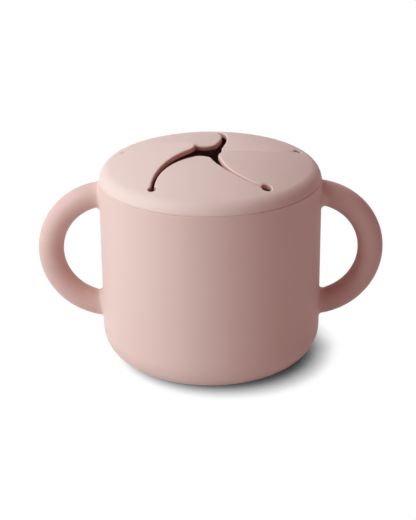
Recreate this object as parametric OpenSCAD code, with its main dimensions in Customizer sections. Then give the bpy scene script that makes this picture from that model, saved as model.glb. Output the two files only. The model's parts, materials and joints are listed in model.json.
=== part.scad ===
// Toddler snack container: a round two-handled cup and a soft plug-in lid with five swirled petals.
// Millimetres, +Z up, origin at the centre of the underside, handles along X, front towards -Y.

/* [Cup] */
// Outer diameter of the cup and the lid
body_d = 89; // [84:1:100]
// Height of the seam between cup and lid above the table
seam_h = 75.8; // [74:0.2:90]
// Thickness of the cup wall
wall = 2.3; // [1.8:0.1:3]
// Thickness of the cup floor
floor_t = 2.4; // [1.8:0.1:4]
// Outer radius of the rounded bottom edge
base_round = 12.5; // [8:0.5:14]
// Depth of the shallow recess under the floor
foot_recess = 0.8; // [0.4:0.1:1.5]
// Width of the flat ring that the cup stands on
foot_w = 4.5; // [3:0.5:8]
// Rounding of the cup's top edge, outside and inside
rim_round = 0.6; // [0.3:0.1:0.8]

/* [Handles] */
// Thickness of the round handle bar
bar_d = 10.2; // [8:0.2:11]
// Radius of the handle's arc, at the middle of the bar
loop_r = 24.3; // [20:0.1:25.5]
// How far the arc's centre lies inside the outer wall
loop_inset = 3.9; // [2:0.1:6]
// Distance from the seam down to the top of the handle
handle_drop = 2.2; // [1:0.1:3]
// Radius of the fillet where a bar runs into the wall
root_fillet = 1.5; // [0.4:0.1:2]

/* [Lid] */
// Height of the lid's top above the seam
lid_rise = 12.2; // [11:0.1:14]
// Radius of the rounded shoulder at the lid's edge
shoulder_r = 6.7; // [5.5:0.1:8]
// How far the centre of that radius lies below the seam
shoulder_drop = 1.2; // [0:0.1:2]
// Thickness of the lid's top and of the petals
lid_t = 2.2; // [1.6:0.1:2.8]
// Depth of the plug that enters the cup
plug_h = 9; // [6:0.5:12]
// Thickness of the plug's wall
plug_t = 2.3; // [1.6:0.1:2.4]
// Clearance between plug and cup wall
plug_gap = 0.4; // [0.3:0.05:0.6]
// Height of the two sealing ribs round the plug
rib_h = 0.2; // [0.1:0.05:0.25]

/* [Petals] */
// Radius of the circle that the relief holes lie on
hole_circle_r = 37.2; // [34:0.1:37.4]
// Diameter of the relief hole at the end of each slit
relief_d = 3; // [2:0.1:3.4]
// How far each curved slit bows away from the straight line between hole and centre
slit_bow = 6; // [4:0.1:7]
// Width of the slits
slit_w = 1.3; // [1.1:0.1:1.6]
// Rounding of the petals' tips
tip_r = 5.5; // [4:0.1:7]
// Distance of each petal's bending line from the lid's axis
bend_d = 27.5; // [26:0.1:28]
// Clearance along the bending line
bend_gap = 0.35; // [0.25:0.05:0.6]
// How far a petal bends down into the cup, degrees
bend_down = 60; // [40:1:65]
// How far a petal bends up, degrees
bend_up = 20; // [10:1:25]
// Direction of the first relief hole, degrees from the right-hand handle
swirl_start = 17.6; // [0:0.2:36]

/* [Hidden] */
$fn = 144;
CUP_PINK = [0.83, 0.66, 0.63];
LID_PINK = [0.87, 0.73, 0.70];
petal_count = 5;
pitch = 360 / petal_count;
arc_step = 6;          // largest turn between two points of a rounded outline, degrees
slack = 1;             // how far a cutter runs past what it cuts

body_r = body_d / 2;
inner_r = body_r - wall;
inner_floor = foot_recess + floor_t;
inner_round = base_round - wall;
foot_out = body_r - base_round;
foot_in = foot_out - foot_w;

// Handles hang from just under the seam, and their arcs start where they meet the wall.
bar_r = bar_d / 2;
lean = asin(loop_inset / loop_r);
root_z = loop_r * cos(lean);
loop_z = seam_h - handle_drop - bar_r - root_z;
root_r = min(root_fillet, 0.8 * handle_drop);

// The lid's outline: a wide crown that runs smoothly into the shoulder.
crown_k = lid_rise + shoulder_drop;
shoulder_x = body_r - shoulder_r;
crown_r = (shoulder_x * shoulder_x + crown_k * crown_k - shoulder_r * shoulder_r)
          / (2 * (crown_k - shoulder_r));
crown_c = [0, seam_h + lid_rise - crown_r];
crown_turn = asin(shoulder_x / (crown_r - shoulder_r));
edge_soft = 0.35;      // softened lower edge of the lid
shoulder_turn = asin((shoulder_drop + edge_soft) / shoulder_r);
lid_top = seam_h + lid_rise;

// The plug under the lid fits the cup's mouth with a clearance.
plug_r = inner_r - plug_gap;
plug_in = plug_r - plug_t;
plug_low = seam_h - plug_h;
plug_soft = 0.6;       // chamfer on the plug's lower edge
plug_fillet = 2.5;     // rounding between the plug and the underside of the crown
rib_w = 1.5;

// The slits: each is an arc of a circle through a relief hole and the lid's centre. In a petal's
// own frame X points outwards through its middle, and its two slits end half a pitch to each side.
slit_r = (hole_circle_r * hole_circle_r / 4 + slit_bow * slit_bow) / (2 * slit_bow);
slit_turn = atan2(slit_r - slit_bow, hole_circle_r / 2);
low_c = slit_r * [cos(slit_turn - pitch / 2), sin(slit_turn - pitch / 2)];
high_c = slit_r * [cos(slit_turn + pitch / 2), sin(slit_turn + pitch / 2)];
bend_z = crown_z(norm([bend_d, bend_d / 2])) - lid_t / 2;
groove_play = 4;       // degrees that the groove opens beyond the petal's own travel
// How far a petal's root reaches below its bending axis at its outer corner, with the clearance.
root_corner = line_crossing(low_c, slit_r + slit_w / 2, bend_d);
root_drop = bend_z - crown_z(norm(root_corner)) + lid_t * crown_slope(norm(root_corner)) + bend_gap;

// Height of the lid's crown at a distance from its axis.
function crown_z(r) = crown_c[1] + sqrt(crown_r * crown_r - r * r);

// Vertical thickness of the crown at a distance from its axis, for each millimetre of real one.
function crown_slope(r) = crown_r / sqrt(crown_r * crown_r - r * r);

// Points along a circular arc from one angle to another.
function arc(c, r, from, to) =
    let (n = max(2, ceil(abs(to - from) / arc_step)))
    [for (i = [0:n]) let (a = from + (to - from) * i / n) c + r * [cos(a), sin(a)]];

// Direction of one point seen from another, degrees.
function heading(from, to) = atan2(to[1] - from[1], to[0] - from[0]);

// The crossing of two circles that lies on the left, looking from the first centre to the second.
function crossing(c1, r1, c2, r2) =
    let (d = norm(c2 - c1), u = (c2 - c1) / d, along = (d * d + r1 * r1 - r2 * r2) / (2 * d))
    c1 + along * u + sqrt(r1 * r1 - along * along) * [-u[1], u[0]];

// Where a circle crosses the line x = at, on its lower side.
function line_crossing(c, r, at) = [at, c[1] - sqrt(r * r - (at - c[0]) * (at - c[0]))];

// A petal's outline, half_gap inside its two slits: up one slit, round the tip and down the other.
function petal_outline(half_gap, tip, at) =
    let (
        low_r = slit_r - half_gap,
        high_r = slit_r + half_gap,
        tip_c = crossing(low_c, low_r - tip, high_c, high_r + tip),
        low_root = line_crossing(low_c, low_r, at),
        high_root = line_crossing(high_c, high_r, at),
        low_tip = heading(low_c, tip_c),
        high_tip = heading(high_c, tip_c)
    )
    concat(
        arc(low_c, low_r, heading(low_c, low_root), low_tip < 0 ? low_tip : low_tip - 360),
        arc(tip_c, tip, low_tip < 0 ? low_tip + 360 : low_tip, high_tip + 180),
        arc(high_c, high_r, high_tip, heading(high_c, high_root))
    );

// A sealing rib's outline on the plug, lower edge first.
function rib(z) = [[plug_r, z - rib_w / 2], [plug_r + rib_h, z - rib_w / 6],
                   [plug_r + rib_h, z + rib_w / 6], [plug_r, z + rib_w / 2]];

module cup() {
    color(CUP_PINK) rotate_extrude() polygon(concat(
        [[0, foot_recess], [foot_in - foot_recess, foot_recess], [foot_in, 0]],
        arc([foot_out, base_round], base_round, -90, 0),
        arc([body_r - rim_round, seam_h - rim_round], rim_round, 0, 90),
        arc([inner_r + rim_round, seam_h - rim_round], rim_round, 90, 180),
        arc([inner_r - inner_round, inner_floor + inner_round], inner_round, 0, -90),
        [[0, inner_floor]]
    ));
}

// Bar of one handle: an arc that runs on into the cup and is cut off at the wall later.
module handle_bar() {
    overrun = 8;
    translate([body_r - loop_inset, 0, loop_z]) rotate([90, 0, 0])
        rotate_extrude(angle = 180 - 2 * lean + 2 * overrun, start = lean - 90 - overrun)
            translate([loop_r, 0]) circle(d = bar_d);
}

// Concave fillet round the bar where it leaves the wall, at the upper (1) or lower (-1) end.
module root_flare(side) {
    reach = 3;
    sunk = 0.2;
    flare_r = bar_r + root_r - sunk;
    translate([body_r, 0, loop_z + side * root_z]) rotate([0, 90, 0]) rotate_extrude()
        polygon(concat(
            [[0, -reach], [flare_r, -reach]],
            arc([flare_r, root_r - sunk], root_r, -90, -180),
            [[0, root_r - sunk]]
        ));
}

module handle_right() {
    color(CUP_PINK) difference() {
        union() {
            handle_bar();
            root_flare(1);
            root_flare(-1);
        }
        translate([0, 0, -slack]) cylinder(r = body_r, h = lid_top + 2 * slack);
    }
}

module handle_left() {
    mirror([1, 0, 0]) handle_right();
}

// The whole lid before it is cut into rim and petals: crown, shoulder and plug.
module lid_blank() {
    fillet_x = plug_in - plug_fillet;
    under_turn = asin(fillet_x / (crown_r - lid_t - plug_fillet));
    fillet_z = crown_c[1] + fillet_x / tan(under_turn);
    edge_r = shoulder_x + shoulder_r * cos(shoulder_turn);
    rotate_extrude() polygon(concat(
        [[plug_r, seam_h], [edge_r - edge_soft, seam_h]],
        arc([shoulder_x, seam_h - shoulder_drop], shoulder_r, shoulder_turn, 90 - crown_turn),
        crown_points(crown_r, 90 - crown_turn, 90),
        crown_points(crown_r - lid_t, 90, 90 - under_turn),
        arc([fillet_x, fillet_z], plug_fillet, 90 - under_turn, 0),
        [[plug_in, plug_low + plug_soft], [plug_in + plug_soft, plug_low],
         [plug_r - plug_soft, plug_low], [plug_r, plug_low + plug_soft]],
        rib(seam_h - plug_h * 2 / 3),
        rib(seam_h - plug_h / 3)
    ));
}

// Points along the crown or its underside, without the first one when they climb to the top.
function crown_points(r, from, to) =
    let (n = 10, first = to > from ? 1 : 0)
    [for (i = [first:n]) let (a = from + (to - from) * i / n) crown_c + r * [cos(a), sin(a)]];

// Turns the petal's own frame to the place of petal i, counted from the first relief hole.
module petal_frame(i) {
    rotate([0, 0, swirl_start + pitch * (i + 0.5)]) children();
}

// Everything that one petal and its slits take out of the rim. Along the bending line the rim is
// undercut above and below as a groove, so that the petal can swing both ways.
module petal_clearance() {
    rise = lid_top - bend_z + slack;
    up_run = rise * tan(bend_up + groove_play);
    down_run = root_drop * tan(bend_down + groove_play);
    y_low = line_crossing(low_c, slit_r + slit_w / 2, bend_d)[1];
    y_high = line_crossing(high_c, slit_r - slit_w / 2, bend_d)[1];
    translate([0, 0, seam_h])
        linear_extrude(lid_rise + slack) polygon(petal_outline(-slit_w / 2, slit_w / 2, bend_d));
    translate([0, y_high, 0]) rotate([90, 0, 0]) linear_extrude(y_high - y_low) polygon([
        [bend_d - slack, bend_z - root_drop], [bend_d + bend_gap + down_run, bend_z - root_drop],
        [bend_d + bend_gap, bend_z], [bend_d + bend_gap + up_run, bend_z + rise],
        [bend_d - slack, bend_z + rise]
    ]);
}

// The outer end of the slit on the petal's lower side, and the relief hole that ends it.
module slit_end() {
    run = hole_circle_r - bend_d + 2 * slit_bow;
    rotate([0, 0, -pitch / 2]) translate([0, 0, seam_h]) {
        intersection() {
            translate([hole_circle_r / 2, slit_r - slit_bow, 0]) difference() {
                cylinder(r = slit_r + slit_w / 2, h = lid_rise);
                translate([0, 0, -slack]) cylinder(r = slit_r - slit_w / 2, h = lid_rise + 2 * slack);
            }
            translate([hole_circle_r - run, -slit_bow - slit_w, -slack])
                cube([run, slit_bow + 2 * slit_w, lid_rise + 2 * slack]);
        }
        translate([hole_circle_r, 0, 0]) cylinder(d = relief_d, h = lid_rise);
    }
}

module lid_rim() {
    color(LID_PINK) difference() {
        lid_blank();
        for (i = [0:petal_count - 1]) petal_frame(i) {
            petal_clearance();
            slit_end();
        }
    }
}

module petal(i) {
    color(LID_PINK) intersection() {
        rotate_extrude() polygon(concat(
            crown_points(crown_r - lid_t, 90 - crown_turn, 90),
            crown_points(crown_r, 90, 90 - crown_turn)
        ));
        petal_frame(i) translate([0, 0, seam_h])
            linear_extrude(lid_rise + slack) polygon(petal_outline(slit_w / 2, tip_r, bend_d));
    }
}

module petal_back_right() { petal(0); }
module petal_back_left() { petal(1); }
module petal_left() { petal(2); }
module petal_front() { petal(3); }
module petal_right() { petal(4); }

cup();
handle_left();
handle_right();
lid_rim();
petal_front();
petal_right();
petal_back_right();
petal_back_left();
petal_left();
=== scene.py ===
import json
import math

import bpy
from mathutils import Matrix, Vector, geometry


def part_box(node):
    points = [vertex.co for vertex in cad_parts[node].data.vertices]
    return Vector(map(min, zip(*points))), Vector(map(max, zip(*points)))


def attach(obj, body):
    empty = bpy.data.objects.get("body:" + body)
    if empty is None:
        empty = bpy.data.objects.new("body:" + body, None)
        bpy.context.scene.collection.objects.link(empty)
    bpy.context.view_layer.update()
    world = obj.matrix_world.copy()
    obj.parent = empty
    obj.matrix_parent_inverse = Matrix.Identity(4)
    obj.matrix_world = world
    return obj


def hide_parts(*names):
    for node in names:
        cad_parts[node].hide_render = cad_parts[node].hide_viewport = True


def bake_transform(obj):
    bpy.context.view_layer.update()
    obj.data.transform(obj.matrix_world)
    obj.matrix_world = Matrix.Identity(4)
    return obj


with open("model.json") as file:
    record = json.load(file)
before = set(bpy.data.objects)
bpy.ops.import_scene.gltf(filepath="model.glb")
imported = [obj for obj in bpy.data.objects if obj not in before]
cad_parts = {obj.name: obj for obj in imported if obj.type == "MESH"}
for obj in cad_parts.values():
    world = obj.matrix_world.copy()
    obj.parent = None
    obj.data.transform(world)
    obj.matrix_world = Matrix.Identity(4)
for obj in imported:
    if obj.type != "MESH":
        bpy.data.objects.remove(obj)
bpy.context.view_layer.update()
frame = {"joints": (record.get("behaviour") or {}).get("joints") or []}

# A soft-touch toddler's snack cup with two loop handles and a silicone lid cut into five swirled petals.
# Metres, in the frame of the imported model: Z up, handles along X, front towards -Y.

MM = 0.001

# ---------------------------------------------------------------- sizes

# Cup
CUP_LOW, CUP_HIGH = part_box("cup")
BODY_R = (CUP_HIGH.x - CUP_LOW.x) / 2
SEAM_Z = CUP_HIGH.z
WALL = 2.3 * MM
FLOOR_T = 2.4 * MM
BASE_ROUND = 12.5 * MM
FOOT_RECESS = 0.8 * MM
FOOT_W = 4.5 * MM
RIM_ROUND = 0.6 * MM      # rounding of the mouth's inner edge
RIM_EDGE = 0.45 * MM      # and of its outer edge, the lower side of the seam's fine groove
RECESS_ROUND = 0.5 * MM
EDGE_BAND = 0.2 * MM      # plain strip of mesh below the rim's outer edge, which keeps the shading even
RIM_BAND = 0.4 * MM       # and below its inner edge
BASE_BAND = 1 * MM        # and beside the base's roundings
INNER_R = BODY_R - WALL
TURN_STEPS = 360          # faces round the cup and the lid

# Handles
BAR_R = 5.1 * MM
LOOP_R = 24.3 * MM
LOOP_INSET = 3.9 * MM
HANDLE_DROP = 2.2 * MM    # from the seam down to the top of the handle
LOOP_X = BODY_R - LOOP_INSET
LOOP_Z = SEAM_Z - HANDLE_DROP - BAR_R - math.sqrt(LOOP_R ** 2 - LOOP_INSET ** 2)
OUTER_FILLET = 1.1 * MM   # where a bar runs into the wall, on the loop's outer side
INNER_FILLET = 2.1 * MM   # and on the side of the finger gap
ROOT_SUNK = 0.3 * MM      # how deep the bar's closed ends lie in the cup's wall
ROOT_SHADE_FADE = 0.07          # share of the half loop over which the bar's painted shade comes in
BAR_STEPS = 64            # faces round a bar
LOOP_STEPS = 96           # and along its loop
FLARE_STEPS = 8           # and over the flare at a root

# Lid
LID_RISE = 12.2 * MM
SHOULDER_R = 6.7 * MM
SHOULDER_DROP = 1.2 * MM
LID_T = 2.2 * MM
EDGE_SOFT = 0.22 * MM     # rounding of the lid's lower edge, the groove's upper side
PLUG_H = 9 * MM
PLUG_T = 2.3 * MM
PLUG_GAP = 0.4 * MM
PLUG_SOFT = 0.6 * MM
PLUG_FILLET = 2.5 * MM
RIB_H = 0.2 * MM
RIB_W = 1.5 * MM
RIB_TOP = RIB_W / 3
RIB_PLACES = (2 / 3, 1 / 3)  # shares of the plug's depth
PLUG_R = INNER_R - PLUG_GAP
PLUG_IN = PLUG_R - PLUG_T

# The lid's top is one wide crown, so that its circle runs smoothly into the shoulder's.
SHOULDER_X = BODY_R - SHOULDER_R
CROWN_K = LID_RISE + SHOULDER_DROP  # from the shoulder's centre up to the lid's top
CROWN_R = (SHOULDER_X ** 2 + CROWN_K ** 2 - SHOULDER_R ** 2) / (2 * (CROWN_K - SHOULDER_R))
CROWN_C = SEAM_Z + LID_RISE - CROWN_R  # height of the crown's centre
CROWN_TURN = math.asin(SHOULDER_X / (CROWN_R - SHOULDER_R))
UNDER_TURN = math.asin((PLUG_IN - PLUG_FILLET) / (CROWN_R - LID_T - PLUG_FILLET))
FILLET_X = PLUG_IN - PLUG_FILLET
FILLET_Z = CROWN_C + FILLET_X / math.tan(UNDER_TURN)

# Petals
PETALS = 5
HALF_PITCH = math.pi / PETALS
HOLE_CIRCLE_R = 37.2 * MM
SLIT_BOW = 6 * MM
SLIT_HALF = 0.65 * MM     # half the width of an open slit
TIP_R = 5.5 * MM
TOP_ROUND = 0.7 * MM      # rounding of the petals' upper edges
LOW_ROUND = 0.4 * MM      # and of their lower edges
SLIT_R = (HOLE_CIRCLE_R ** 2 / 4 + SLIT_BOW ** 2) / (2 * SLIT_BOW)
SLIT_TURN = math.atan2(SLIT_R - SLIT_BOW, HOLE_CIRCLE_R / 2)
BENDS = {j["child"]: j for j in frame["joints"] if j["name"].endswith("_bend")}


def petal_heading(name):
    """Direction of a petal's middle, from the place of its bending line."""
    place = BENDS["petal_" + name + "_body"]["pos_m"]
    return math.atan2(place[1], place[0])


FIRST_HOLE = petal_heading("back_right") - HALF_PITCH

# Petals anticlockwise from the first slit, and how each has settled: its tip's rise, its sideways lean
# and how far its tip has drawn back from the middle
SETTLED = {
    "back_right": dict(rise=-3.0 * MM, lean=0, back=1.0 * MM),
    "back_left": dict(rise=-1.05 * MM, lean=1.5 * MM, back=0),
    "left": dict(rise=0.9 * MM, lean=0.4 * MM, back=1.0 * MM),
    "front": dict(rise=-2.0 * MM, lean=0.6 * MM, back=0),
    "right": dict(rise=-0.2 * MM, lean=0, back=1.5 * MM),
}
# What each slit has become: half its width at the outer end, the radius of its relief hole, and how far
# inwards that hole lies. A slit comes before the petal of the same place in SETTLED.
SLIT_ENDS = [
    dict(half=0.12 * MM, hole=1.4 * MM, inwards=0),
    dict(half=0.65 * MM, hole=1.5 * MM, inwards=0),
    dict(half=0.15 * MM, hole=0.8 * MM, inwards=0),
    dict(half=0.65 * MM, hole=1.5 * MM, inwards=0),
    dict(half=0.12 * MM, hole=1.95 * MM, inwards=0.5 * MM),
]

ROOT_X = 31.3 * MM        # where a petal's settling starts, in its plan frame
TIP_X = 5 * MM            # and where it is full
RISE_CURVE = 1.7          # how late on the way to the tip each part of the settling comes, as a power
LEAN_CURVE = 2
BACK_CURVE = 3
CLOSED_SHARE = 0.5        # how far a slit keeps the width of its outer end, as a share of its length
SLIT_SHADE_STARTS = 0.6          # radians round a petal's upper edge to where the painted slit shade comes in

# The petals' mesh
HOLE_STEPS = 14
SLIT_STEPS = 54
TIP_STEPS = 26
ROUND_STEPS = 6           # over the rounding of a cut edge
GRID = 1.2 * MM           # spacing of the inner points
ROW_GAP = 0.45 * GRID     # from the rounded edge to the row of points that follows it
ROOT_GAP = 0.3 * GRID     # least distance of that row from the root
GRID_GAP = 0.6 * GRID     # and of the inner points from that row

# Camera: where it looks, from how high and how far, and how the picture is framed
PICTURE_SIDE = 520        # the picture's longer side, in pixels
LOOK_AT = Vector((0, 0, 37.9 * MM))
CAMERA_RISE = 23.5
CAMERA_DISTANCE = 623 * MM
CAMERA_LENS = 105.4
CAMERA_ROLL = -0.42
CAMERA_SHIFT = (-2.88 / PICTURE_SIDE, 2.9 / PICTURE_SIDE)

# Colours as they are under white light, apart from the painted light and shade noted beside them
CUP_LIGHT = (0.69, 0.455, 0.41)
CUP_DEEP = (0.66, 0.425, 0.38)
CUP_BAR_PAINTED_SHADE = (0.63, 0.385, 0.34)      # painted shade on the handles' bars, darker and redder than the wall
# The lid's pink: the cup's own pink, made paler as painted light on the lid's crown
LID_LIGHT_WITH_PAINTED_LIGHT = (0.705, 0.50, 0.45)
LID_DEEP_WITH_PAINTED_LIGHT = (0.68, 0.475, 0.425)
LID_SLIT_PAINTED_SHADE = (0.60, 0.31, 0.27)       # painted shade in the slits: their cut walls darker and redder, as in a narrow gap
FLOOR_COLOUR = (0.8, 0.8, 0.8)

# Surfaces
CUP_FINISH = dict(roughness=0.56, sheen=0.02, grain=2600.0, strength=0.12)
LID_FINISH = dict(roughness=0.6, sheen=0.04, grain=2200.0, strength=0.1)
TONE_PATCHES = 26.0       # slow patches of tone per metre
SKIN_IOR = 1.35           # a low one, since a soft-touch skin shows hardly any gloss
BLOOM_ROUGHNESS = 0.5

FLOOR_HALF = 3.0          # half the floor's side, in metres

# Light: azimuth 0 is the camera's side, and negative azimuths lie to its left
FILL_COLOUR = (1, 0.38, 0.38)
FILL_LEVEL = 0.26
LAMP_COLOUR = (0.75, 1, 1.03)
LAMP_DISTANCE = 1.0
LAMPS = [
    dict(name="key_left", azimuth=-76, elevation=36, size=0.9, power=7.0),
    dict(name="front_left", azimuth=-60, elevation=35, size=0.6, power=3.6),
    dict(name="low_left", azimuth=-60, elevation=8, size=0.6, power=2.1),
    dict(name="high_left", azimuth=-125, elevation=62, size=0.7, power=3.0),
    dict(name="back_right", azimuth=160, elevation=35, size=0.6, power=0.6),
]

# The floor's painted shadow: what the object hides, from close by, of a soft light from the left, traced
# as ambient occlusion
SHADOW_AZIMUTH = -105
SHADOW_ELEVATION = 45
SHADOW_REACH = 17 * MM
SHADOW_RANGE = (0.17, 0.63)  # open share of that light at which the floor is black and white


# ---------------------------------------------------------------- mesh helpers

def arc(cx, cy, radius, start, end, steps):
    """Points along a circular arc, both ends included; angles in degrees."""
    turns = [math.radians(start + (end - start) * i / steps) for i in range(steps + 1)]
    return [(cx + radius * math.cos(a), cy + radius * math.sin(a)) for a in turns]


def line(x0, y0, x1, y1, steps):
    """Points along a straight line, both ends included."""
    return [(x0 + (x1 - x0) * i / steps, y0 + (y1 - y0) * i / steps) for i in range(steps + 1)]


def ease(t):
    """A smooth step from 0 to 1, level at both ends."""
    t = min(1, max(0, t))
    return t * t * (3 - 2 * t)


def no_repeats(points, closed=False):
    """The points without those that lie on the one before."""
    kept = []
    for p in points:
        if not kept or math.dist(p, kept[-1]) > 1e-7:
            kept.append(p)
    if closed and math.dist(kept[0], kept[-1]) < 1e-7:
        kept.pop()
    return kept


def make_piece(name, verts, faces, crease=35):
    """A smooth-shaded mesh piece, with edges sharper than crease degrees kept sharp."""
    mesh = bpy.data.meshes.new(name)
    mesh.from_pydata(verts, [], faces)
    mesh.validate()
    mesh.shade_smooth()
    mesh.set_sharp_from_angle(angle=math.radians(crease))
    piece = bpy.data.objects.new(name, mesh)
    bpy.context.scene.collection.objects.link(piece)
    return piece


def mark_painted_shade(piece, shares):
    """Where a piece takes its material's painted shade: a share from 0 to 1 for each of its points."""
    piece.data.attributes.new("painted_shade", "FLOAT", "POINT").data.foreach_set("value", shares)


def revolve(name, profile, closed=False, crease=35, start=0.0):
    """A skin turned round the upright axis from (radius, height) points, its outside to their right."""
    profile = no_repeats(profile, closed)
    verts, rows = [], []
    for r, z in profile:
        if r < 1e-7:
            rows.append([len(verts)] * TURN_STEPS)
            verts.append((0, 0, z))
            continue
        rows.append(list(range(len(verts), len(verts) + TURN_STEPS)))
        for i in range(TURN_STEPS):
            a = start + 2 * math.pi * i / TURN_STEPS
            verts.append((r * math.cos(a), r * math.sin(a), z))
    faces = []
    for k in range(len(rows) if closed else len(rows) - 1):
        low, high = rows[k], rows[(k + 1) % len(rows)]
        for i in range(TURN_STEPS):
            j = (i + 1) % TURN_STEPS
            faces.append(no_doubles([low[i], low[j], high[j], high[i]]))
    return make_piece(name, verts, faces, crease)


def no_doubles(face):
    """A face without the corners that fall together at a pole."""
    return [v for k, v in enumerate(face) if v != face[k - 1]]


# ---------------------------------------------------------------- cup

def cup_profile():
    """Half the cup's section: from the recess underneath up outside, over the rim and down inside."""
    inner_floor = FOOT_RECESS + FLOOR_T
    inner_round = BASE_ROUND - WALL
    foot_out = BODY_R - BASE_ROUND
    foot_in = foot_out - FOOT_W
    recess_r = foot_in - 2 * RECESS_ROUND
    rim_low = SEAM_Z - RIM_ROUND
    edge_low = SEAM_Z - RIM_EDGE
    profile = line(0, FOOT_RECESS, recess_r, FOOT_RECESS, steps=8)
    profile += arc(recess_r, FOOT_RECESS - RECESS_ROUND, RECESS_ROUND, 90, 30, steps=4)
    profile += line(foot_in, 0, foot_out, 0, steps=4)
    profile += arc(foot_out, BASE_ROUND, BASE_ROUND, -90, 0, steps=30)
    profile += line(BODY_R, BASE_ROUND + BASE_BAND, BODY_R, edge_low - EDGE_BAND, steps=16)
    profile += arc(BODY_R - RIM_EDGE, edge_low, RIM_EDGE, 0, 90, steps=6)
    profile += arc(INNER_R + RIM_ROUND, rim_low, RIM_ROUND, 90, 180, steps=8)
    profile += line(INNER_R, rim_low - RIM_BAND, INNER_R, inner_floor + inner_round + BASE_BAND, steps=16)
    profile += arc(INNER_R - inner_round, inner_floor + inner_round, inner_round, 0, -90, steps=24)
    profile += line(INNER_R - inner_round - BASE_BAND, inner_floor, 0, inner_floor, steps=8)
    return profile


def make_cup():
    """The cup without its handles, as one closed skin."""
    cup = revolve("cup_shell", cup_profile())
    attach(cup, "cup_body")
    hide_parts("cup")
    return cup


# ---------------------------------------------------------------- handles

def bar_point(along, turn, side, grown=0.0):
    """A point on the bar: along is the angle round the loop, turn the angle round the bar."""
    radius = LOOP_R + (BAR_R + grown) * math.cos(turn)
    x = LOOP_X + radius * math.cos(along)
    return Vector((side * x, (BAR_R + grown) * math.sin(turn), LOOP_Z + radius * math.sin(along)))


def wall_angle(turn, clear, grown=0.0):
    """The angle round the loop at which a line along the bar is that far clear of the cup's wall."""
    y = (BAR_R + grown) * math.sin(turn)
    wall_x = math.sqrt(BODY_R ** 2 - y ** 2) + clear - LOOP_X
    return math.acos(wall_x / (LOOP_R + (BAR_R + grown) * math.cos(turn)))


def root_fillet(turn):
    """Radius of the fillet at the bar's root, from its inner to its outer side."""
    return (OUTER_FILLET + INNER_FILLET + (OUTER_FILLET - INNER_FILLET) * math.cos(turn)) / 2


def root_point(end, turn, side, bend):
    """A point of the flare at a root: bend is 0 at the wall, a quarter turn where the plain bar starts."""
    fillet = root_fillet(turn)
    grown = fillet * (1 - math.sin(bend))
    clear = fillet * (1 - math.cos(bend))
    return bar_point(end * wall_angle(turn, clear, grown), turn, side, grown)


def sunk_point(end, turn, side):
    """A point of the bar's closed end, just inside the cup's wall."""
    grown = root_fillet(turn)
    return bar_point(end * wall_angle(turn, -ROOT_SUNK, grown), turn, side, grown)


def handle_rings(side):
    """The bar's rings of points from its lower to its upper root, and each ring's share of painted shade.
    """
    turns = [2 * math.pi * j / BAR_STEPS for j in range(BAR_STEPS)]
    bends = [math.pi / 2 * k / FLARE_STEPS for k in range(FLARE_STEPS + 1)]
    shares = [-1 + 2 * i / LOOP_STEPS for i in range(1, LOOP_STEPS)]
    rings = [[sunk_point(-1, t, side) for t in turns]]
    rings += [[root_point(-1, t, side, bend) for t in turns] for bend in bends]
    for share in shares:
        rings.append([bar_point(share * wall_angle(t, root_fillet(t)), t, side) for t in turns])
    rings += [[root_point(1, t, side, bend) for t in turns] for bend in bends[::-1]]
    rings += [[sunk_point(1, t, side) for t in turns]]
    at_root = [0.0] * (1 + len(bends))
    bar_shades = at_root + [ease((1 - abs(share)) / ROOT_SHADE_FADE) for share in shares] + at_root
    return rings, bar_shades


def make_handle(name, side):
    """A round bar bent to a loop. Its ends flare into the cup's wall."""
    rings, bar_shades = handle_rings(side)
    numbers = [[k * BAR_STEPS + j for j in range(BAR_STEPS)] for k in range(len(rings))]
    faces = []
    for low, high in zip(numbers, numbers[1:]):
        for j in range(BAR_STEPS):
            faces.append([low[j - 1], high[j - 1], high[j], low[j]])
    faces += [numbers[0], numbers[-1][::-1]]
    if side > 0:
        faces = [face[::-1] for face in faces]
    handle = make_piece("handle_loop_" + name, [p for ring in rings for p in ring], faces, crease=50)
    # Painted shade: the bar darkens and reddens away from its roots
    mark_painted_shade(handle, [tone for tone in bar_shades for _ in range(BAR_STEPS)])
    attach(handle, "cup_body")
    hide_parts("handle_" + name)
    return handle


# ---------------------------------------------------------------- lid

def crown_z(r):
    """Height of the lid's top at a distance from its axis."""
    return CROWN_C + math.sqrt(CROWN_R ** 2 - r ** 2)


def under_z(r):
    """Height of the lid's underside, with the rounding that runs down into the plug."""
    smooth = CROWN_C + math.sqrt((CROWN_R - LID_T) ** 2 - r ** 2)
    if r <= (CROWN_R - LID_T) * math.sin(UNDER_TURN):
        return smooth
    return FILLET_Z + math.sqrt(max(0, PLUG_FILLET ** 2 - (r - FILLET_X) ** 2))


def rib(z):
    """Outline of one sealing rib on the plug, from above."""
    return [(PLUG_R, z + RIB_W / 2), (PLUG_R + RIB_H, z + RIB_TOP / 2),
            (PLUG_R + RIB_H, z - RIB_TOP / 2), (PLUG_R, z - RIB_W / 2)]


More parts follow.
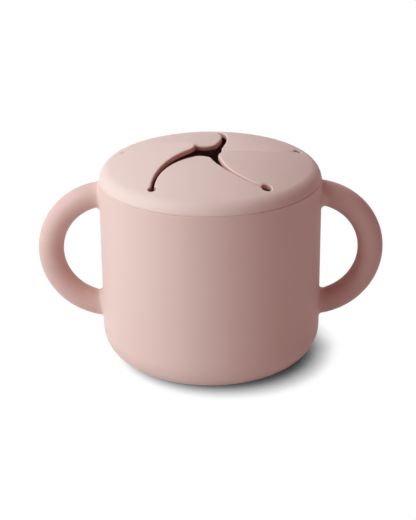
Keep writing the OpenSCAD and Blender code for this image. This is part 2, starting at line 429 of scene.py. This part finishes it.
def make_lid_ring():
    """The lid's shoulder and plug, out from where the petals' roots end."""
    plug_low = SEAM_Z - PLUG_H
    shoulder_z = SEAM_Z - SHOULDER_DROP
    edge_turn = math.asin((SHOULDER_DROP + EDGE_SOFT) / SHOULDER_R)
    edge_r = SHOULDER_X + SHOULDER_R * math.cos(edge_turn)
    crown_edge = CROWN_R * math.sin(CROWN_TURN)
    profile = [(PLUG_IN, plug_low + PLUG_SOFT), (PLUG_IN + PLUG_SOFT, plug_low),
               (PLUG_R - PLUG_SOFT, plug_low), (PLUG_R, plug_low + PLUG_SOFT)]
    for share in RIB_PLACES:
        profile += rib(SEAM_Z - PLUG_H * share)[::-1]
    profile += [(PLUG_R, SEAM_Z)]
    profile += arc(edge_r - EDGE_SOFT, SEAM_Z + EDGE_SOFT, EDGE_SOFT, -90, 0, steps=6)
    profile += arc(SHOULDER_X, shoulder_z, SHOULDER_R, math.degrees(edge_turn),
                   90 - math.degrees(CROWN_TURN), steps=30)
    profile += [(r, crown_z(r)) for r in (crown_edge, (crown_edge + PLUG_IN) / 2, PLUG_IN)]
    profile += [(PLUG_IN, FILLET_Z)]
    ring = revolve("lid_ring", profile, closed=True, start=FIRST_HOLE)
    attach(ring, "lid")
    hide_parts("lid_rim")
    return ring


# ---------------------------------------------------------------- petals

def meeting(c1, r1, c2, r2):
    """Where two circles cross, on the left looking from the first centre to the second."""
    between = c2 - c1
    d = between.length
    u = between / d
    along = (d * d + r1 * r1 - r2 * r2) / (2 * d)
    return c1 + along * u + math.sqrt(r1 * r1 - along * along) * Vector((-u.y, u.x))


def heading(centre, point):
    """Direction from a centre to a point."""
    return math.atan2(point.y - centre.y, point.x - centre.x)


def sweep_to(start, end, turning):
    """The end angle, wound so that it is reached from start by turning that way."""
    while turning > 0 and end < start:
        end += 2 * math.pi
    while turning < 0 and end > start:
        end -= 2 * math.pi
    return end


def circle_part(centre, radius, start, end, steps):
    """Points along part of a circle, from one angle to another."""
    angles = [start + (end - start) * i / steps for i in range(steps + 1)]
    return [centre + radius * Vector((math.cos(a), math.sin(a))) for a in angles]


def slit_side(centre, sign, start, end, half_at_hole, inset):
    """One edge of a petal along a slit, from its outer end inwards. The slit narrows towards its hole."""
    points = []
    for i in range(SLIT_STEPS + 1):
        t = i / SLIT_STEPS
        opened = ease((t - CLOSED_SHARE) / (1 - CLOSED_SHARE))
        half = half_at_hole + (SLIT_HALF - half_at_hole) * opened
        radius = SLIT_R + sign * (half + inset)
        a = start + (end - start) * t
        points.append(centre + radius * Vector((math.cos(a), math.sin(a))))
    return points


def free_edge(low, high, inset):
    """A petal's cut edge in its own plan frame, X outwards: relief hole, slit, tip, slit, relief hole.

    low and high are the ends of its slits on the clockwise and anticlockwise side. The edge starts on
    the ray through the clockwise hole, and inset moves it into the petal."""
    low_c = SLIT_R * Vector((math.cos(SLIT_TURN - HALF_PITCH), math.sin(SLIT_TURN - HALF_PITCH)))
    high_c = SLIT_R * Vector((math.cos(SLIT_TURN + HALF_PITCH), math.sin(SLIT_TURN + HALF_PITCH)))
    low_hole = (HOLE_CIRCLE_R - low["inwards"]) * Vector((math.cos(HALF_PITCH), -math.sin(HALF_PITCH)))
    high_hole = (HOLE_CIRCLE_R - high["inwards"]) * Vector((math.cos(HALF_PITCH), math.sin(HALF_PITCH)))
    tip_r = TIP_R - inset
    tip_c = meeting(low_c, SLIT_R - SLIT_HALF - TIP_R, high_c, SLIT_R + SLIT_HALF + TIP_R)
    low_end = meeting(low_hole, low["hole"] + inset, low_c, SLIT_R - low["half"] - inset)
    high_end = meeting(high_hole, high["hole"] + inset, high_c, SLIT_R + high["half"] + inset)
    low_tip = heading(low_c, tip_c)
    high_tip = heading(high_c, tip_c)

    start = -HALF_PITCH
    end = sweep_to(start, heading(low_hole, low_end), 1)
    points = circle_part(low_hole, low["hole"] + inset, start, end, HOLE_STEPS)
    start = heading(low_c, low_end)
    end = sweep_to(start, low_tip, -1)
    points += slit_side(low_c, -1, start, end, low["half"], inset)[1:]
    start = sweep_to(high_tip + math.pi, low_tip, 1)
    points += circle_part(tip_c, tip_r, start, high_tip + math.pi, TIP_STEPS)[1:]
    start = heading(high_c, high_end)
    end = sweep_to(start, high_tip, -1)
    points += slit_side(high_c, 1, start, end, high["half"], inset)[::-1][1:]
    start = heading(high_hole, high_end)
    end = sweep_to(start, HALF_PITCH, 1)
    points += circle_part(high_hole, high["hole"] + inset, start, end, HOLE_STEPS)[1:]
    return points


def root_edge():
    """A petal's hidden outer edge in plan, back from its anticlockwise to its clockwise side."""
    return circle_part(Vector((0, 0)), PLUG_IN, HALF_PITCH, -HALF_PITCH, TURN_STEPS // PETALS)


def inside(point, outline):
    """Whether a plan point lies inside a closed outline."""
    hit = False
    for k, b in enumerate(outline):
        a = outline[k - 1]
        if (a.y > point.y) != (b.y > point.y):
            if point.x < a.x + (b.x - a.x) * (point.y - a.y) / (b.y - a.y):
                hit = not hit
    return hit


def fill_points(outline, spacing, margin):
    """A triangular grid of plan points inside an outline, at least margin from its points."""
    low = Vector((min(p.x for p in outline), min(p.y for p in outline)))
    high = Vector((max(p.x for p in outline), max(p.y for p in outline)))
    found, row, y = [], 0, low.y
    while y < high.y:
        x = low.x + (row % 2) * spacing / 2
        while x < high.x:
            p = Vector((x, y))
            if min((p - q).length_squared for q in outline) > margin ** 2 and inside(p, outline):
                found.append(p)
            x += spacing
        y += spacing * math.sqrt(3) / 2
        row += 1
    return found


def triangulate(outline, inner):
    """Triangles, anticlockwise from above, over an outline and the points inside it, as indices."""
    points = outline + inner
    count = len(outline)
    loop = [(k, (k + 1) % count) for k in range(count)]
    coords = [p / MM for p in points]
    made, _, faces, origins, _, _ = geometry.delaunay_2d_cdt(coords, loop, [], 1, 1e-6)
    if len(made) != len(points):
        raise ValueError("a petal's outline crosses itself")
    return [[origins[v][0] for v in face] for face in faces]


def settle(x, y, z, settled):
    """Where a point of the moulded petal has come to lie after use."""
    reach = min(1, max(0, (ROOT_X - x) / (ROOT_X - TIP_X)))
    return Vector((x + settled["back"] * reach ** BACK_CURVE,
                   y + settled["lean"] * reach ** LEAN_CURVE,
                   z + settled["rise"] * reach ** RISE_CURVE))


def rounded(radius, angle):
    """Inset and drop of a point on a rounded edge: 0 is on the flat face, a quarter turn on the wall."""
    return radius * (1 - math.sin(angle)), radius * (1 - math.cos(angle))


def petal_levels():
    """The rounded cut edge from the top face to the underside: inset, drop, share of the way down, cut.

    cut is 0 on the skin that the mould gave and 1 on the cut wall, and is the share of painted slit shade."""
    quarter = [math.pi / 2 * k / ROUND_STEPS for k in range(ROUND_STEPS + 1)]
    top = [(*rounded(TOP_ROUND, a), 0, ease(a - SLIT_SHADE_STARTS)) for a in quarter]
    wall = [(0, 0, share, 1) for share in (0.25, 0.5, 0.75)]
    low = [(*rounded(LOW_ROUND, a), 1, 1) for a in quarter[::-1]]
    return top + wall + low


def level_z(r, drop, share):
    """Height of a point of the cut edge: from the top, from the underside, or part of the way between."""
    if share == 0:
        return crown_z(r) - drop
    if share == 1:
        return under_z(r) + drop
    top, low = crown_z(r) - TOP_ROUND, under_z(r) + LOW_ROUND
    return top + (low - top) * share


def strip(first, second):
    """Faces between two rows of point numbers of the same length."""
    return [[first[k], first[k + 1], second[k + 1], second[k]] for k in range(len(first) - 1)]


def petal_side(rows, top_root, low_root):
    """A petal's faces all round: its cut edge, its hidden root and the two corners between them."""
    faces = [face for upper, lower in zip(rows, rows[1:]) for face in strip(upper, lower)]
    faces += strip(top_root, low_root)
    faces.append([row[-1] for row in rows][::-1] + [top_root[0], low_root[0]])
    faces.append([row[0] for row in rows] + [low_root[-1], top_root[-1]])
    return faces


def inner_points(low, high, outline):
    """Points inside a petal: a row that follows its cut edge, and a grid over the rest."""
    row = [p for p in free_edge(low, high, TOP_ROUND + ROW_GAP)[2:-2] if p.length < PLUG_IN - ROOT_GAP]
    grid = fill_points(outline, GRID, GRID / 2)
    return row + [p for p in grid if min((p - q).length_squared for q in row) > GRID_GAP ** 2]


def petal_mesh(name):
    """A petal's settled points, its faces, and each point's share of the painted shade on its cut wall."""
    place = list(SETTLED).index(name)
    low, high = SLIT_ENDS[place], SLIT_ENDS[(place + 1) % PETALS]
    levels = petal_levels()
    edges = [free_edge(low, high, inset) for inset, _, _, _ in levels]
    root = root_edge()
    verts, slit_shades = [], []

    def add(p, z, cut=0.0):
        """Keep a point, settled, and give back its number."""
        verts.append(settle(p.x, p.y, z, SETTLED[name]))
        slit_shades.append(cut)
        return len(verts) - 1

    rows = [[add(p, level_z(p.length, drop, share), cut) for p in edge]
            for edge, (_, drop, share, cut) in zip(edges, levels)]
    top_root = [add(p, crown_z(p.length)) for p in root]
    low_root = [add(p, under_z(p.length)) for p in root]
    faces = petal_side(rows, top_root, low_root)
    for side, k, root_ids, height in ((1, 0, top_root, crown_z), (-1, -1, low_root, under_z)):
        outline = edges[k] + root
        inner = inner_points(low, high, outline)
        ids = rows[k] + root_ids + [add(p, height(p.length)) for p in inner]
        faces += [[ids[v] for v in t[::side]] for t in triangulate(outline, inner)]
    return verts, faces, slit_shades


def make_petal(name):
    """One petal, settled as in use."""
    verts, faces, slit_shades = petal_mesh(name)
    direction = petal_heading(name)
    petal = make_piece("soft_petal_" + name, verts, faces, crease=40)
    # Painted shade on the slits' cut walls
    mark_painted_shade(petal, slit_shades)
    petal.data.transform(Matrix.Rotation(direction, 4, "Z"))
    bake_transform(petal)
    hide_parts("petal_" + name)
    return petal


# ---------------------------------------------------------------- materials

def new_group(name, inputs, outputs):
    """An empty shader node group with named sockets, as (kind, name, default) inputs."""
    group = bpy.data.node_groups.new(name, "ShaderNodeTree")
    for kind, label, value in inputs:
        socket = group.interface.new_socket(label, in_out="INPUT", socket_type=kind)
        socket.default_value = value
    for kind, label in outputs:
        group.interface.new_socket(label, in_out="OUTPUT", socket_type=kind)
    return group, group.nodes.new("NodeGroupInput"), group.nodes.new("NodeGroupOutput")


def noise(nodes, links, scale, detail):
    """A noise texture on the object's own coordinates, with a linked scale."""
    place = nodes.new("ShaderNodeTexCoord").outputs["Object"]
    node = nodes.new("ShaderNodeTexNoise")
    node.inputs["Detail"].default_value = detail
    links.new(place, node.inputs["Vector"])
    links.new(scale, node.inputs["Scale"])
    return node.outputs["Fac"]


def make_tone_group():
    """Slow, faint drift of colour and gloss over a moulded surface."""
    group, taken, given = new_group(
        "moulded_tone",
        [("NodeSocketColor", "Light colour", (1, 1, 1, 1)),
         ("NodeSocketColor", "Deep colour", (0, 0, 0, 1)),
         ("NodeSocketFloat", "Patches per metre", 30.0),
         ("NodeSocketFloat", "Roughness", 0.5),
         ("NodeSocketFloat", "Roughness drift", 0.05)],
        [("NodeSocketColor", "Colour"), ("NodeSocketFloat", "Roughness")])
    nodes, links = group.nodes, group.links
    patch = noise(nodes, links, taken.outputs["Patches per metre"], detail=3.0)
    mix = nodes.new("ShaderNodeMix")
    mix.data_type = "RGBA"
    links.new(patch, mix.inputs["Factor"])
    links.new(taken.outputs["Light colour"], mix.inputs["A"])
    links.new(taken.outputs["Deep colour"], mix.inputs["B"])
    links.new(mix.outputs["Result"], given.inputs["Colour"])
    drift = nodes.new("ShaderNodeMath")
    drift.operation = "MULTIPLY_ADD"
    links.new(patch, drift.inputs[0])
    links.new(taken.outputs["Roughness drift"], drift.inputs[1])
    links.new(taken.outputs["Roughness"], drift.inputs[2])
    links.new(drift.outputs["Value"], given.inputs["Roughness"])
    return group


def make_grain_group():
    """The fine bead-blasted grain of a soft-touch surface, as a bumped normal."""
    group, taken, given = new_group(
        "soft_touch_grain",
        [("NodeSocketFloat", "Grains per metre", 3000.0),
         ("NodeSocketFloat", "Strength", 0.1),
         ("NodeSocketFloat", "Depth", 0.02 * MM)],
        [("NodeSocketVector", "Normal")])
    nodes, links = group.nodes, group.links
    grain = noise(nodes, links, taken.outputs["Grains per metre"], detail=2.0)
    bump = nodes.new("ShaderNodeBump")
    links.new(grain, bump.inputs["Height"])
    links.new(taken.outputs["Strength"], bump.inputs["Strength"])
    links.new(taken.outputs["Depth"], bump.inputs["Distance"])
    links.new(bump.outputs["Normal"], given.inputs["Normal"])
    return group


def place_group(tree, group, values):
    """A node group in a material, with its own values."""
    node = tree.nodes.new("ShaderNodeGroup")
    node.node_tree = group
    for label, value in values.items():
        node.inputs[label].default_value = value
    return node


def mix_colours(tree, share, first, second):
    """A colour between a linked one and a fixed one, by a share that changes over the surface."""
    mix = tree.nodes.new("ShaderNodeMix")
    mix.data_type = "RGBA"
    tree.links.new(share, mix.inputs["Factor"])
    tree.links.new(first, mix.inputs["A"])
    mix.inputs["B"].default_value = (*second, 1)
    return mix.outputs["Result"]


def soft_material(name, light, deep, painted_shade, roughness, sheen, grain, strength):
    """A matte moulded surface: faint drift of tone, fine grain, a soft bloom and painted shade where a
    piece is marked for it.
    """
    material = bpy.data.materials.new(name)
    material.use_nodes = True
    tree = material.node_tree
    shader = tree.nodes["Principled BSDF"]
    tone = place_group(tree, TONE, {"Light colour": (*light, 1), "Deep colour": (*deep, 1),
                                    "Roughness": roughness, "Patches per metre": TONE_PATCHES})
    skin = place_group(tree, GRAIN, {"Grains per metre": grain, "Strength": strength})
    # Painted shade: bars and slit walls mix towards a darker colour by their marked share
    mask = tree.nodes.new("ShaderNodeAttribute")
    mask.attribute_name = "painted_shade"
    colour = mix_colours(tree, mask.outputs["Fac"], tone.outputs["Colour"], painted_shade)
    tree.links.new(colour, shader.inputs["Base Color"])
    tree.links.new(tone.outputs["Roughness"], shader.inputs["Roughness"])
    tree.links.new(skin.outputs["Normal"], shader.inputs["Normal"])
    shader.inputs["IOR"].default_value = SKIN_IOR
    shader.inputs["Sheen Weight"].default_value = sheen
    shader.inputs["Sheen Roughness"].default_value = BLOOM_ROUGHNESS
    return material


def dress(pieces, material):
    """Give pieces a material."""
    for piece in pieces:
        piece.data.materials.clear()
        piece.data.materials.append(material)


# ---------------------------------------------------------------- stage, lights and camera

def painted_floor_shadow(nodes, links):
    """How white the floor is painted: 1 in the open, and less, as painted shadow, where the object hides
    the soft light.
    """
    towards = nodes.new("ShaderNodeCombineXYZ")
    for axis, value in zip("XYZ", outward(SHADOW_AZIMUTH, SHADOW_ELEVATION)):
        towards.inputs[axis].default_value = value
    hidden = nodes.new("ShaderNodeAmbientOcclusion")
    hidden.samples = 16
    hidden.inputs["Distance"].default_value = SHADOW_REACH
    links.new(towards.outputs["Vector"], hidden.inputs["Normal"])
    spread = nodes.new("ShaderNodeMapRange")
    spread.inputs["From Min"].default_value = SHADOW_RANGE[0]
    spread.inputs["From Max"].default_value = SHADOW_RANGE[1]
    links.new(hidden.outputs["AO"], spread.inputs["Value"])
    return spread.outputs["Result"]


def sees_background(nodes, links):
    """1 for the rays that see the white background: the camera's, and those in a reflection or glass."""
    path = nodes.new("ShaderNodeLightPath")
    share = path.outputs["Is Camera Ray"]
    for kind in ("Is Glossy Ray", "Is Transmission Ray"):
        either = nodes.new("ShaderNodeMath")
        either.operation = "MAXIMUM"
        links.new(share, either.inputs[0])
        links.new(path.outputs[kind], either.inputs[1])
        share = either.outputs["Value"]
    return share


def make_floor():
    """A white floor with the object's shadow painted on it. For the light it throws back it is plain and
    pale.
    """
    mesh = bpy.data.meshes.new("floor")
    corners = [(x * FLOOR_HALF, y * FLOOR_HALF, 0) for x, y in ((-1, -1), (1, -1), (1, 1), (-1, 1))]
    mesh.from_pydata(corners, [], [(0, 1, 2, 3)])
    floor = bpy.data.objects.new("floor", mesh)
    bpy.context.scene.collection.objects.link(floor)
    material = bpy.data.materials.new("white_floor")
    material.use_nodes = True
    nodes, links = material.node_tree.nodes, material.node_tree.links
    nodes.clear()
    plain = nodes.new("ShaderNodeBsdfDiffuse")
    plain.inputs["Color"].default_value = (*FLOOR_COLOUR, 1)
    seen = nodes.new("ShaderNodeEmission")
    # Painted shadow: the floor's white for the camera dims by ambient occlusion near the object
    links.new(painted_floor_shadow(nodes, links), seen.inputs["Strength"])
    pick = nodes.new("ShaderNodeMixShader")
    links.new(sees_background(nodes, links), pick.inputs["Fac"])
    links.new(plain.outputs[0], pick.inputs[1])
    links.new(seen.outputs[0], pick.inputs[2])
    out = nodes.new("ShaderNodeOutputMaterial")
    links.new(pick.outputs[0], out.inputs["Surface"])
    mesh.materials.append(material)


def make_world():
    """White where the camera, a reflection or glass looks past the object, and a soft fill elsewhere."""
    world = bpy.data.worlds.new("studio")
    bpy.context.scene.world = world
    world.use_nodes = True
    nodes, links = world.node_tree.nodes, world.node_tree.links
    nodes.clear()
    fill = nodes.new("ShaderNodeBackground")
    fill.inputs["Color"].default_value = (*FILL_COLOUR, 1)
    fill.inputs["Strength"].default_value = FILL_LEVEL
    white = nodes.new("ShaderNodeBackground")
    white.inputs["Color"].default_value = (1, 1, 1, 1)
    mix = nodes.new("ShaderNodeMixShader")
    links.new(sees_background(nodes, links), mix.inputs["Fac"])
    links.new(fill.outputs[0], mix.inputs[1])
    links.new(white.outputs[0], mix.inputs[2])
    out = nodes.new("ShaderNodeOutputWorld")
    links.new(mix.outputs[0], out.inputs["Surface"])


def outward(azimuth, elevation):
    """Unit vector from the object; azimuth 0 is the camera's side and 90 is the right."""
    a, e = math.radians(azimuth), math.radians(elevation)
    return Vector((math.sin(a) * math.cos(e), -math.cos(a) * math.cos(e), math.sin(e)))


def make_lamp(name, azimuth, elevation, size, power):
    """A square softbox that faces the object's middle."""
    data = bpy.data.lights.new(name, "AREA")
    data.size = size
    data.energy = power
    data.color = LAMP_COLOUR
    lamp = bpy.data.objects.new(name, data)
    away = outward(azimuth, elevation)
    lamp.location = LOOK_AT + away * LAMP_DISTANCE
    lamp.rotation_mode = "QUATERNION"
    lamp.rotation_quaternion = away.to_track_quat("Z", "Y")
    bpy.context.scene.collection.objects.link(lamp)


def make_camera():
    """The photograph's view, through a long lens that looks down on the lid."""
    data = bpy.data.cameras.new("camera")
    data.sensor_width = 36
    data.lens = CAMERA_LENS
    data.shift_x = CAMERA_SHIFT[0]
    data.shift_y = CAMERA_SHIFT[1]
    data.clip_start = 0.01
    data.clip_end = 20
    camera = bpy.data.objects.new("camera", data)
    away = outward(0, CAMERA_RISE)
    camera.location = LOOK_AT + away * CAMERA_DISTANCE
    camera.rotation_mode = "QUATERNION"
    roll = Matrix.Rotation(math.radians(CAMERA_ROLL), 4, "Z").to_quaternion()
    camera.rotation_quaternion = away.to_track_quat("Z", "Y") @ roll
    bpy.context.scene.collection.objects.link(camera)
    bpy.context.scene.camera = camera


# ---------------------------------------------------------------- making it all

make_camera()
make_world()
make_floor()
for lamp in LAMPS:
    make_lamp(**lamp)
bpy.context.scene.view_settings.view_transform = "Standard"

TONE = make_tone_group()
GRAIN = make_grain_group()
cup_pieces = [make_cup(), make_handle("left", -1), make_handle("right", 1)]
lid_pieces = [make_lid_ring()] + [make_petal(name) for name in SETTLED]
dress(cup_pieces, soft_material("cup_soft_touch", CUP_LIGHT, CUP_DEEP, CUP_BAR_PAINTED_SHADE, **CUP_FINISH))
dress(lid_pieces, soft_material("lid_silicone_matte", LID_LIGHT_WITH_PAINTED_LIGHT, LID_DEEP_WITH_PAINTED_LIGHT, LID_SLIT_PAINTED_SHADE, **LID_FINISH))
